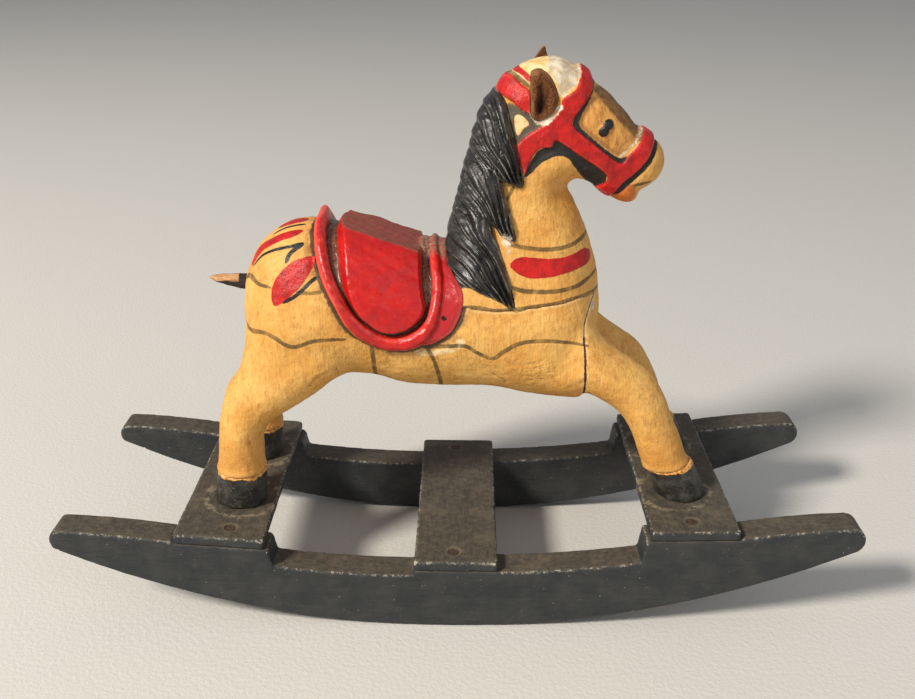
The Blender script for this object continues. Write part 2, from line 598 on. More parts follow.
# Each lock of the mane: how high it stands above the neck, its number of strands, the point that they run
# to, the first and last places that they start from, and the lock's outline
MANE_LOCKS = (
    (2.35, 5, (17.4, 106.5), (10.6, 131), (1.5, 117),
     ((5, 133), (10.7, 129.8), (12.1, 127), (13.1, 123.4), (14.3, 119.1), (15.3, 115.3), (16.4, 111.2),
      (15.9, 109.3), (13.6, 109.9), (10, 111.4), (6.3, 114), (-4, 116), (-3, 127))),
    (2.05, 5, (15.6, 94), (8, 121), (-2.5, 107),
     ((8, 117), (10.5, 113), (11.8, 108), (12.8, 105.4), (13.8, 101.5), (14.7, 97.8), (14, 96.9),
      (12.6, 97.4), (11, 98.3), (7.5, 101.4), (-5, 104), (-5, 114))),
    (1.75, 6, (16.4, 77), (5, 112), (-6, 88),
     ((7, 105), (9.2, 98.8), (10.8, 95.4), (13, 89.3), (15.1, 82), (14.6, 80.4), (13.4, 81.0), (11.7, 82.3),
      (8.8, 83.6), (6, 84.8), (3.3, 85.5), (1.4, 85.2), (0.3, 86.8), (-1.6, 89.0), (-6, 90), (-7, 97),
      (-4, 104))),
)
STRAND_DEPTH = 1.6
MANE_ROOT = 1.0                  # how deep the mane is let into the neck
LOCK_TIP = (12.4, 97.4)          # the middle lock's broken tip

barrel = Chart((-58, -3), (40, 62))
profile = Chart((-6, 78), (56, 142))


def deepest(shapes):
    """One map of depths for several shapes drawn together."""
    return np.maximum.reduce(list(shapes))


def strokes(chart, rows):
    """One map of depths for several brush strokes, each a half width and its places."""
    return deepest(chart.stroke(places, half) for half, *places in rows)


# ---------------------------------------------------------------- saddle

roll_depth = barrel.inside(ROLL)
seat_depth = barrel.inside(SEAT)
flap_depth = barrel.inside(FLAP)
ROLL_HALF = 1.6 + 0.55 * ramp(barrel.v, 24, 33)   # half the roll's width: it is wider low on the sides
ROLL_RISE = 2.6        # how high the roll's middle stands above its edges, low on the sides
ROLL_RISE_TOP = 1.0    # and how much more over the back
ROLL_SINK = 0.8        # how deep the roll's edges are sunk
GAP_FLOOR = -0.7       # how high the gap between roll and seat lies over the bare back
SEAT_RISE = 2.6        # how high the seat stands above the gap, and the filled pommel too
FLAP_RISE = 1.15       # how high the flap stands above its edges
SADDLE_ROOT = 1.8      # how deep the saddle is let into the back
SADDLE_HOLE = (-2.2, 24.6)      # the pinhole in the flap
roll_cover = ROLL_HALF - np.abs(roll_depth)
saddle_depth = np.maximum(roll_depth + ROLL_HALF, flap_depth)


def saddle_piece():
    """The saddle: a raised seat with a flat top, a rounded roll around it, and a flap in front."""
    lattice = Lattice((-37, -22, 66), (5, 22, 102), FINE_STEP)
    x, y, z = lattice.x, lattice.y, lattice.z
    back = horse_field(lattice, legs=False)
    around = girth(x, y, z)
    where = np.broadcast_to(x, around.shape), around
    roll, seat, flap, half = (
        barrel.read(values, *where) for values in (roll_depth, seat_depth, flap_depth, ROLL_HALF)
    )
    near_top = ramp(-around, -9, -1)
    round_roll = np.sqrt(1 - np.clip(np.abs(roll) / half, 0, 1) ** 2)
    crown = ROLL_RISE + ROLL_RISE_TOP * near_top
    roll_top = np.where(np.abs(roll) < half, crown * round_roll - ROLL_SINK, NOTHING)
    pommel = ramp(x, -11, -7) * ramp(-around, -9, -2)
    gap_top = np.where(roll > 0, GAP_FLOOR + SEAT_RISE * pommel, NOTHING)
    bevel = 0.8 + 1.3 * ramp(-x, 23, 26)
    shoulder = np.clip(seat / bevel, 0, 1) ** 0.8
    seat_top = GAP_FLOOR + SEAT_RISE * shoulder + 0.7 * ramp(-around, -16, -8)
    flat_top = (z - along(SEAT_TOP, x)) * 0.96
    seat_shape = np.maximum(back - np.where(seat > 0, seat_top, NOTHING), flat_top)
    flap_rise = (FLAP_RISE + 1.3 * pommel) * np.sqrt(np.clip(flap / 1.1, 0, 1))
    flap_top = np.where(flap > 0, flap_rise - 0.4, NOTHING)
    shape = np.minimum(back - np.maximum(np.maximum(roll_top, gap_top), flap_top), seat_shape)
    wobble = 0.12 * uneven(lattice, 4.0, 21) + 0.05 * uneven(lattice, 1.7, 22)
    shape = np.maximum(shape - wobble, -(back + SADDLE_ROOT))
    piece = mesh_of("saddle_carved", shape, lattice)
    mark_bends(piece, shape, lattice)
    px, py, pz = corners_of(piece)[0].T
    spot = px, girth(px, py, pz)
    mark(
        piece,
        roll=barrel.read(roll_cover, *spot),
        inner=barrel.read(roll_depth, *spot),
        seat=barrel.read(seat_depth, *spot),
        facet=pz - along(SEAT_TOP, px) + 0.25,
        hole=0.7 - np.hypot(px - SADDLE_HOLE[0], spot[1] - SADDLE_HOLE[1]),
        dirt=np.minimum(px + 8.4, 6.5 - spot[1]) / 2,
    )
    return piece


# ---------------------------------------------------------------- mane

def strand_ridges(u, v, count, tip, first, last):
    """Strands fanning from the lock's tip, each a long leaf with a slow slope and a steep lower side. 0 in
    a groove, 1 on a ridge."""
    ways = [math.atan2(place[1] - tip[1], place[0] - tip[0]) for place in (first, last)]
    start, end = np.unwrap(ways)
    reach = np.hypot(u - tip[0], v - tip[1])
    here = np.arctan2(v - tip[1], u - tip[0])
    here = np.where(here < min(start, end) - 2, here + 2 * math.pi, here)
    share = (here - start) / (end - start)
    share = share * count + 0.45 * np.sin(reach / 7 + count) + 0.3 * ripples(u, v, 0, 10, 33)
    part = share - np.floor(share)
    slow = 0.8                                 # the slow slope's share of each strand
    leaf = np.where(part < slow, (part / slow) ** 1.4, (1 - part) / (1 - slow))
    fine = np.abs(np.sin(2.5 * math.pi * share + 0.8 * ripples(u, v, 0, 7, 34))) ** 0.7
    return (0.86 * leaf + 0.14 * fine) * ramp(reach, 1.5, 8)


def mane_heights(lattice):
    """How high the mane stands above the bare neck, seen from the side. Far below zero means no mane."""
    u, v = lattice.side()
    inwards = outline_depth(MANE_CREST, u, v)
    height = np.full(u.shape, NOTHING)
    for rise, count, tip, first, last, outline in MANE_LOCKS:
        depth = outline_depth(outline, u, v)
        strands = strand_ridges(u, v, count, tip, first, last) - 0.75
        lift = rise * ramp(inwards, 1, 10) + STRAND_DEPTH * strands * ramp(inwards, -1, 2.5)
        lock = lift - (lift + 0.7) * (1 - dome(depth / 1.1))
        height = np.maximum(height, np.where(depth > 0, lock, NOTHING))
    return height


def mane_piece():
    """The mane's overlapping locks on both sides of the neck, with carved grooves between the strands."""
    lattice = Lattice((-5, -17.5, 78), (18.5, 17.5, 134), MANE_STEP)
    neck = horse_field(lattice, legs=False)
    bulk = smooth_union(neck, crest_field(lattice), 2.0)
    height = mane_heights(lattice)
    chop = 0.10 * uneven(lattice, 2.6, 31)
    shape = np.maximum(bulk - height[:, None, :] - chop, -(neck + MANE_ROOT))
    piece = mesh_of("mane_carved", shape, lattice)
    mark_bends(piece, shape, lattice, 3)
    x, _, z = corners_of(piece)[0].T
    mark(piece, tip=1.3 - np.hypot(x - LOCK_TIP[0], (z - LOCK_TIP[1]) * 0.8))
    return piece


# ---------------------------------------------------------------- torso, head and legs

def paint_maps():
    """Every painted shape on the horse as maps of depth, round the barrel and on the profile."""
    on_barrel = {
        "red": deepest(barrel.inside(leaf) for leaf in LEAVES),
        "ink": strokes(barrel, DARK_STROKES),
        "olive": strokes(barrel, OLIVE_LINES),
        "cream": barrel.inside(WORN_PATCH),
        "grime": saddle_depth,
    }
    reds = [profile.inside(outline) for outline in (BRIDLE, CROWN, OVAL)] + [strokes(profile, [CROWN_LINE])]
    bare = [profile.inside(outline) for outline in (WORN_BROW, EAR_CHIP, LOCK_CHIP)]
    on_profile = {
        "red": deepest(reds),
        "black": np.maximum(profile.inside(JAW_SHADE), strokes(profile, HEAD_BLACKS)),
        "ink": deepest(EYE_SIZE - np.hypot(profile.u - u, profile.v - v) for u, v in EYES),
        "olive": strokes(profile, HEAD_OLIVES),
        "chip": deepest(bare + [strokes(profile, [NOSE_CHIP])]),
        "cream": deepest((profile.inside(POLL), profile.inside(TEMPLE_SPOT))),
        "temple": profile.inside(TEMPLE),
        "lip": profile.inside(LIP),
        "face": profile.inside(FACE),
    }
    return on_barrel, on_profile


LAYERS = (
    "red", "black", "ink", "olive", "chip", "cream", "temple", "lip", "face", "grime", "joint", "lumps",
    "bridge",
)
barrel_paint, profile_paint = paint_maps()


def mark_paint(piece, from_profile):
    """Stores the depth inside every painted shape on a piece of the horse."""
    places, _ = corners_of(piece)
    x, y, z = places.T
    spot = (x, z) if from_profile else (x, girth(x, y, z))
    chart, maps = (profile, profile_paint) if from_profile else (barrel, barrel_paint)
    values = {name: np.full(len(x), OUTSIDE) for name in LAYERS}
    for name, depths in maps.items():
        values[name] = chart.read(depths, *spot)
    gaps = np.minimum.reduce([np.linalg.norm(places - chip, axis=1) for chip in CHIPS])
    values["chip"] = np.maximum(values["chip"], CHIP_SIZE - gaps)
    if from_profile:
        ridge = smooth_curve(FACE_RIDGE, closed=False)
        gap, _ = nearest_on(ridge, x, z)
        above = z > np.interp(x, ridge[:, 0], ridge[:, 1])
        values["bridge"] = np.where(above, gap, -gap)
    else:
        seam = np.abs(x - along(LEG_SEAM, z))
        values["joint"] = np.where(z < CRACK_TOP, CRACK_HALF, CRACK_HALF / 3) - seam
        ridge = np.where(z > RIDGE_FOOT, RIDGE_HALF, 0) - seam
        values["cream"] = np.maximum(values["cream"], ridge)
        centre, radius = WRINKLED
        values["lumps"] = radius - np.hypot(x - centre[0], z - centre[1])
    mark(piece, **values)


def head_relief(lattice):
    """Carved relief on the head, seen from the side: raised straps and eyes, hollows at ear and throat."""
    u, v = lattice.side()
    straps = np.maximum(outline_depth(BRIDLE, u, v), outline_depth(CROWN, u, v))
    height = 0.62 * ramp(straps, -0.35, 0.45)
    face = outline_depth(FACE, u, v)
    height = height - 0.35 * ramp(face, 0, 1.0) * ramp(2.4 - face, 0, 2.4)
    height = height - 0.3 * ramp(outline_depth(JAW_SHADE, u, v), 0, 1.2)
    for eye in EYES:
        gap = np.hypot(u - eye[0], v - eye[1])
        height = height + 0.55 * np.sqrt(np.clip(1 - (gap / EYE_SIZE) ** 2, 0, 1))
    for spot, radius, depth in HOLLOWS:
        height = height - depth * bump_at(u, v, spot, radius)
    mouth, _ = nearest_on(smooth_curve(MOUTH, closed=False), u, v)
    return height - 0.35 * np.exp(-(mouth / 0.7) ** 2)


def head_piece():
    """Neck and head, hollowed where the mane and the ears are let in, down to the joint with the torso."""
    lattice = Lattice((-4, -17, 78), (53, 17, 140), FINE_STEP)
    bare = horse_field(lattice, legs=False)
    mane_depth = deepest(outline_depth(lock[-1], *lattice.side()) for lock in MANE_LOCKS)[:, None, :]
    shape = np.maximum(bare, np.minimum(mane_depth - LET_IN_GAP, bare + MANE_ROOT - 0.1))
    shape = shape - head_relief(lattice)[:, None, :]
    for hand, side in HANDS:
        ear = outline_depth(EAR_LEAVES[hand], *lattice.side())[:, None, :]
        shape = np.maximum(shape, np.minimum(ear - 0.15, lattice.y * side - EAR_BED))
    below = neck_seam(lattice) + NECK_SEAM_GAP - lattice.z
    shape = np.maximum(shape, np.maximum(below, NECK_BACK - lattice.x))
    piece = mesh_of("head_neck_carved", shape, lattice)
    mark_bends(piece, shape, lattice)
    mark_paint(piece, True)
    return piece


def torso_piece():
    """The torso, hollowed for the saddle and cut away where the neck and the legs are joined on."""
    lattice = Lattice((-58, -20, 49), (37, 20, 103), BODY_STEP)
    x, y, z = lattice.x, lattice.y, lattice.z
    shape = horse_field(lattice)
    around = girth(x, y, z)
    where = np.broadcast_to(x, around.shape), around
    saddle = barrel.read(saddle_depth, *where)
    bed = np.minimum(saddle - LET_IN_GAP, shape + SADDLE_ROOT - LET_IN_GAP)
    knife_line = 0.25 * np.exp(-((saddle + 0.7) / 0.8) ** 2)      # a shallow groove along the saddle
    dents = 0.35 * ramp(barrel.read(strokes(barrel, DENTS), *where), -0.4, 0.2)
    shape = np.maximum(shape, bed) + knife_line + dents
    neck = np.maximum(neck_seam(lattice) - z, NECK_BACK - x)
    shape = np.maximum(np.maximum(shape, -neck), x - along(LEG_SEAM, z) + LEG_SEAM_GAP)
    piece = mesh_of("torso_carved", shape, lattice)
    mark_bends(piece, shape, lattice)
    slice_off(piece, *HIND_CUT)
    mark_paint(piece, False)
    return piece


def leg_pieces():
    """The four legs, each cut from the same carved shape at its joint and above its hoof."""
    made = {}
    for end, low, high in (("hind", (-64, -21, 33), (-22, 21, 73)), ("front", (30, -21, 34), (65, 21, 85))):
        lattice = Lattice(low, high, BODY_STEP)
        x, z = lattice.x, lattice.z
        shape = horse_field(lattice)
        swelling = 0.3 * np.exp(-((above_foot(end, x, z) - 0.5) / 0.7) ** 2)
        shape = shape - swelling                # the leg's lip, just above the hoof
        if end == "front":
            behind = along(LEG_SEAM, z) + LEG_SEAM_GAP - x
            shape = np.maximum(np.maximum(shape, behind), z - neck_seam(lattice))
        for hand, side in HANDS:
            piece = mesh_of(f"{end}_leg_{hand}_carved", shape, lattice)
            mark_bends(piece, shape, lattice)
            slice_off(piece, (0, 0, 0), (0, -side, 0))
            if end == "hind":
                point, slope = HIND_CUT
                slice_off(piece, point, [-c for c in slope])
            slice_off(piece, *FEET[end])
            mark_paint(piece, False)
            made[f"{end}_leg_{hand}"] = piece
    return made


# ---------------------------------------------------------------- small carved parts

TAIL_ROOT_HIGH = 82.2
TAIL_FACETS = 7
TAIL_WIDTH = ((-7, 2.3), (0, 2.3), (3, 2.0), (8, 1.15), (10.2, 0.35))    # place along it, half width


def hoof_pieces():
    """The four hooves, their edges knocked and the leg's paint lapping over each top."""
    made = {}
    for end in ENDS:
        for seed, (hand, _) in enumerate(HANDS):
            node = f"{end}_hoof_{hand}"
            lattice = lattice_round(node, FINE_STEP)
            shape = soften(node_field(node, lattice), 2) + 0.14
            shape = shape + 0.14 * uneven(lattice, 5, 51 + seed) + 0.05 * uneven(lattice, 1.6, 53)
            made[node] = mesh_of(f"{node}_carved", shape, lattice)
            mark_bends(made[node], shape, lattice)
            x, _, z = corners_of(made[node])[0].T
            mark(made[node], lip=above_foot(end, x, z) + 1.0)
    return made


def tail_piece():
    """A stub of wood whittled to a point, its facets left as the knife cut them."""
    lattice = Lattice((-64, -4, 78), (-44, 4, 88), MANE_STEP)
    x, y, z = lattice.x, lattice.y, lattice.z
    away = -51.5 - x                           # how far out of the rump
    rise = z - TAIL_ROOT_HIGH - 0.105 * away
    width = along(TAIL_WIDTH, away)
    turns = np.arange(0.3, 6.4, 6.283 / TAIL_FACETS)
    facets = [y * math.sin(turn) + rise * math.cos(turn) * 1.15 for turn in turns]
    shape = np.maximum.reduce(np.broadcast_arrays(*facets)) - width + 0.07 * uneven(lattice, 2.2, 61)
    shape = np.maximum(shape, np.maximum(away - 10.1 + 0.5 * y, -6.2 - away))
    piece = mesh_of("tail_whittled", shape, lattice)
    mark_bends(piece, shape, lattice, 3)
    px, _, pz = corners_of(piece)[0].T
    below = 0.6 * (TAIL_ROOT_HIGH + 0.4 - pz)
    mark(piece, daub=np.maximum(px + 54.0, below + 0.05 * (px + 60)))
    return piece


def ear_piece(node, hand, side):
    """A leather ear: a thick cupped leaf, open to the side, standing in its socket in the head."""
    lattice = lattice_round(node, MANE_STEP, 1.0)
    u, v = lattice.side()
    rim = EAR_BED + EAR_THICK * dome(outline_depth(EAR_LEAVES[hand], u, v) / 1.5)
    pit = (1.1 + 1.2 * ramp(v, 132, 127)) * ramp(outline_depth(EAR_PIT, u, v), -1.0, 1.8)
    out = lattice.y * side
    beyond = -outline_depth(EAR_LEAVES[hand], u, v)[:, None, :]
    shape = np.maximum(np.maximum(beyond, out - (rim - pit)[:, None, :]), EAR_BED - LET_IN_GAP - out)
    fuzz = 0.08 * uneven(lattice, 1.1, 71) + 0.10 * uneven(lattice, 2.7, 72)
    piece = mesh_of(f"ear_{hand}_cupped", shape + fuzz + 0.06, lattice)
    mark_bends(piece, shape, lattice, 3)
    x, _, z = corners_of(piece)[0].T
    mark(piece, pit=outline_depth(EAR_PIT, x, z))
    return piece


def nail_heads():
    """The middles of the six nail heads on the slats, read from the CAD's own nails."""
    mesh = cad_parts["slat_nails"].data
    spots = np.array([v.co for v in mesh.vertices]) / MM
    places = []
    for slat in SLATS:
        low, high = node_box(slat)
        for _, side in HANDS:
            pick = spots[(spots[:, 0] > low[0]) & (spots[:, 0] < high[0]) & (spots[:, 1] * side > 0)]
            places.append(pick[pick[:, 2] > pick[:, 2].max() - 0.35].mean(axis=0))
    return places


NAILS = nail_heads()


# ---------------------------------------------------------------- rockers and slats

RING_RADIUS = 9.3      # the dusty ring round each hoof
RING_WIDE = 0.5        # half its width
STAIN_RADIUS = 1.9     # round each nail


def board_pieces():
    """Rockers and slats, edges rubbed round, faces a little uneven and corners chipped."""
    made = {}
    for seed, node in enumerate(ROCKERS + SLATS):
        lattice = lattice_round(node, BASE_STEP)
        shape = node_field(node, lattice)
        chips = ramp(uneven(lattice, 2.6, 80 + seed), 0.5, 0.95)
        blurred = soften(shape, 2)
        rubbed = np.maximum(shape, blurred - 0.08 + 0.30 * chips * ramp(blurred - shape, 0.1, 0.3))
        if node in ROCKERS:
            rubbed = rubbed + (shape - rubbed) * under_slat(lattice.x, lattice.z)
        shape = rubbed + 0.03 + 0.03 * uneven(lattice, 7, 90 + seed)
        piece = mesh_of(f"{node}_worn", shape, lattice)
        mark_bends(piece, shape, lattice)
        places, facing = corners_of(piece)
        covered = under_slat(places[:, 0], places[:, 2]) if node in ROCKERS else np.zeros(len(places))
        mark(piece, up=facing[:, 2], rust=nail_halo(places), covered=covered, ring=hoof_ring(places))
        made[node] = piece
    return made


def under_slat(x, z):
    """1 where a rocker's top is covered by a slat, 0 where it is bare."""
    cover = 0.0
    for slat in SLATS:
        low, high = node_box(slat)
        inside = (high[0] - low[0]) / 2 + 0.6 - np.abs(x - (high[0] + low[0]) / 2)
        cover = np.maximum(cover, ramp(inside, 0, 0.5) * ramp(z - low[2], -3, -2))
    return cover


def hoof_ring(places):
    """How deep each place lies in the dusty ring left round the nearest hoof."""
    gaps = []
    for end in ENDS:
        for hand, _ in HANDS:
            spot = sum(node_box(f"{end}_hoof_{hand}")) / 2
            away = np.hypot(places[:, 0] - spot[0], places[:, 1] - spot[1])
            gaps.append(RING_WIDE - np.abs(away - RING_RADIUS))
    return np.maximum.reduce(gaps)


def nail_halo(places):
    """How deep each place lies inside the stain around the nearest nail."""
    gaps = [np.linalg.norm(places - spot, axis=1) for spot in NAILS]
    return STAIN_RADIUS - np.minimum.reduce(gaps)


# ---------------------------------------------------------------- materials

def tint(red, green, blue):
    """A colour given in 0 to 255 steps, as linear light."""
    return tuple(((c / 255 + 0.055) / 1.055) ** 2.4 for c in (red, green, blue))


class Paint:
    """One material's nodes, built by short calls. Sizes are in millimetres."""

    def __init__(self, name):
        self.material = bpy.data.materials.new(name)
        self.material.use_nodes = True
        self.tree = self.material.node_tree
        self.shader = self.tree.nodes["Principled BSDF"]
        self.place = self.tree.nodes.new("ShaderNodeTexCoord").outputs["Object"]
        self.colour = None
        self.height = None

    def feed(self, socket, value):
        """Links another node's output, or sets a number or a colour."""
        if isinstance(value, bpy.types.NodeSocket):
            self.tree.links.new(value, socket)
        elif isinstance(value, tuple):
            socket.default_value = (value + (1.0,))[: len(socket.default_value)]
        else:
            socket.default_value = value

    def math(self, kind, a, b=0.0):
        node = self.tree.nodes.new("ShaderNodeMath")
        node.operation = kind
        self.feed(node.inputs[0], a)
        self.feed(node.inputs[1], b)
        return node.outputs[0]

    def times(self, a, b):
        return self.math("MULTIPLY", a, b)

    def plus(self, a, b):
        return self.math("ADD", a, b)

    def noise(self, size, detail=2.0, rough=0.5, stretch=(1, 1, 1), shift=0.0):
        """Cloudy noise around 0.5 with features of the given size, longer along each stretched axis."""
        scale = self.tree.nodes.new("ShaderNodeMapping")
        scale.inputs["Scale"].default_value = [1 / (MM * size * s) for s in stretch]
        scale.inputs["Location"].default_value = (shift, shift * 0.7, -shift)
        self.feed(scale.inputs["Vector"], self.place)
        node = self.tree.nodes.new("ShaderNodeTexNoise")
        self.feed(node.inputs["Vector"], scale.outputs[0])
        node.inputs["Scale"].default_value = 1.0
        node.inputs["Detail"].default_value = detail
        node.inputs["Roughness"].default_value = rough
        return node.outputs[0]

    def layer(self, name):
        """A number stored on the mesh."""
        node = self.tree.nodes.new("ShaderNodeAttribute")
        node.attribute_name = name
        return node.outputs["Fac"]

    def ramp(self, value, low, high):
        """0 at low, 1 at high. value is a node's output, or the name of a number stored on the mesh."""
        node = self.tree.nodes.new("ShaderNodeMapRange")
        node.interpolation_type = "SMOOTHSTEP"
        self.feed(node.inputs["Value"], self.layer(value) if isinstance(value, str) else value)
        node.inputs["From Min"].default_value = low
        node.inputs["From Max"].default_value = high
        return node.outputs[0]

    def area(self, name, wobble=None, soft=0.12, grow=0.0, amount=1.0):
        """How much of a painted shape covers a place: 1 inside, 0 outside, with a wavering edge."""
        depth = self.layer(name)
        if wobble is not None:
            depth = self.plus(depth, self.times(self.math("SUBTRACT", wobble, 0.5), amount))
        return self.ramp(depth, -soft - grow, soft - grow)

    def mix(self, amount, below, above):
        node = self.tree.nodes.new("ShaderNodeMix")
        node.data_type = "RGBA"
        self.feed(node.inputs[0], amount)
        self.feed(node.inputs[6], below)
        self.feed(node.inputs[7], above)
        return node.outputs[2]

    def blend(self, value, low, high, below, above):
        """One colour below low, another above high."""
        return self.mix(self.ramp(value, low, high), below, above)

    def lay(self, where, strength, over):
        """Lays a colour over the colours laid before it, where the first number is high."""
        amount = where if strength == 1 else self.times(where, strength)
        self.colour = self.mix(amount, self.colour, over)

    def raise_by(self, value, amount):
        """Adds to the fine relief, in millimetres."""
        part = self.times(value, amount)
        self.height = part if self.height is None else self.plus(self.height, part)

    def done(self, rough, specular=0.4):
        """Feeds the shader. Fine relief becomes a bump."""
        self.feed(self.shader.inputs["Base Color"], self.colour)
        self.feed(self.shader.inputs["Roughness"], rough)
        self.feed(self.shader.inputs["Specular IOR Level"], specular)
        bump = self.tree.nodes.new("ShaderNodeBump")
        bump.inputs["Distance"].default_value = MM
        bump.inputs["Strength"].default_value = 1.0
        self.feed(bump.inputs["Height"], self.height)
        self.feed(self.shader.inputs["Normal"], bump.outputs[0])
        return self.material


OCHRE = tint(212, 151, 66)
OCHRE_PALE = tint(228, 176, 94)
OCHRE_DEEP = tint(174, 104, 42)
CREAM = tint(234, 206, 152)
BONE = tint(222, 210, 188)
OLIVE = tint(84, 66, 32)
RED = tint(196, 22, 16)
RED_DEEP = tint(150, 16, 14)
RED_PALE = tint(226, 84, 70)
BLACK = tint(34, 31, 28)
DIRT = tint(92, 70, 48)


def horse_material():
    """Ochre paint over wood with everything that is painted on it."""
    p = Paint("ochre_and_trim")
    clouds = p.noise(9, 3)
    grain = p.noise(0.45, 3, 0.65, (1, 1, 12))
    fine = p.noise(0.45, 3, 0.7)
    edge = p.noise(0.9, 2, 0.6, shift=3.0)
    specks = p.noise(0.45, 1, 0.5, shift=8.0)
    blotch = p.noise(2.6, 3, 0.6, shift=5.0)
    streaks = p.noise(1.1, 3, 0.7, (1, 1, 5), 11.0)
    # the ochre, uneven with brush strokes and age
    p.colour = p.blend(clouds, 0.3, 0.7, OCHRE, OCHRE_PALE)
    p.lay(p.ramp(grain, 0.5, 0.72), 0.45, OCHRE_DEEP)
    p.lay(p.ramp(grain, 0.46, 0.3), 0.22, CREAM)
    p.lay(p.ramp(blotch, 0.52, 0.72), 0.38, OCHRE_DEEP)
    p.lay(p.ramp("warm", 0.0, 1.0), 0.45, tint(204, 136, 58))
    p.lay(p.ramp(streaks, 0.56, 0.7), 0.35, tint(150, 92, 40))
    p.lay(p.ramp(specks, 0.71, 0.76), 0.55, tint(120, 78, 36))
    p.lay(p.ramp("bend", -0.02, -0.22), 0.65, tint(134, 84, 36))
    p.lay(p.ramp("bend", 0.05, 0.22), 0.35, CREAM)
    # the bare-looking face inside the bridle, darker at its rim and on the bridge of the nose
    face = p.blend(streaks, 0.4, 0.65, tint(216, 156, 78), tint(180, 120, 58))
    p.lay(p.area("face", edge, 0.5), 1, face)
    rim = p.times(p.area("face", edge, 0.3, 0.3), p.ramp("face", 1.3, 0.2))
    p.lay(rim, 0.6, tint(128, 80, 38))
    nose = p.times(p.area("bridge", edge, 0.35), p.area("face", edge, 0.6, 1.5))
    p.lay(nose, 0.9, p.blend(streaks, 0.4, 0.65, tint(126, 88, 46), tint(98, 66, 34)))
    # cream poll, grey temple, olive lines, grime along the saddle
    p.lay(p.area("cream", edge, 0.3), 1, p.blend(blotch, 0.4, 0.65, CREAM, tint(214, 170, 100)))
    p.lay(p.times(p.area("temple", edge, 0.3), p.ramp("cream", 0.1, -0.2)), 1, tint(88, 76, 62))
    strength = p.plus(0.6, p.times(p.ramp(blotch, 0.3, 0.6), 0.3))
    p.lay(p.times(p.area("olive", edge, 0.16, 0.12, 0.35), strength), 1, OLIVE)
    p.lay(p.times(p.ramp("grime", -3.4, -0.2), p.ramp(blotch, 0.35, 0.62)), 0.6, DIRT)
    p.lay(p.area("grime", edge, 0.25, 0.85, 1.1), 0.92, tint(56, 46, 28))
    p.lay(p.area("joint", edge, 0.14, 0.0, 0.6), 1, tint(96, 62, 30))
    # lip, black lines, red straps, bare chips, eyes
    p.lay(p.area("lip", edge, 0.25), 1, tint(204, 112, 40))
    black = p.blend(blotch, 0.5, 0.8, BLACK, tint(78, 68, 58))
    p.lay(p.area("black", edge, 0.14, 0.1, 0.4), 1, black)
    red = p.blend(blotch, 0.35, 0.7, RED, RED_DEEP)
    red = p.mix(p.times(p.ramp(fine, 0.62, 0.72), 0.35), red, RED_PALE)
    red = p.blend("bend", 0.07, 0.24, red, RED_PALE)
    p.lay(p.area("red", edge, 0.10, 0.0, 0.35), 1, red)
    bare = p.blend(p.noise(2.8, 3, 0.55, shift=12.0), 0.38, 0.66, tint(186, 166, 134), BONE)
    flaked = p.ramp(p.noise(2.6, 2, 0.5), 0.28, 0.46)
    p.lay(p.times(p.area("chip", edge, 0.16, 0.0, 1.6), flaked), 1, bare)
    p.lay(p.area("ink", edge, 0.10, 0.0, 0.2), 1, tint(28, 25, 22))
    # relief and gloss
    p.raise_by(grain, 0.09)
    p.raise_by(fine, 0.10)
    p.raise_by(blotch, 0.42)
    p.raise_by(p.area("red", edge, 0.12, 0.0, 0.35), 0.07)
    wrinkles = p.noise(2.6, 2, 0.5, (1, 1, 0.7), 13.0)
    wrinkles = p.math("ABSOLUTE", p.math("SUBTRACT", wrinkles, 0.5))
    p.raise_by(p.times(wrinkles, p.ramp("lumps", 0, 3)), -0.9)
    p.raise_by(streaks, 0.12)
    rough = p.math("SUBTRACT", 0.62, p.times(p.area("red", edge), 0.22))
    rough = p.plus(rough, p.times(p.math("SUBTRACT", fine, 0.5), 0.25))
    return p.done(p.math("SUBTRACT", rough, p.times(p.area("ink"), 0.25)))


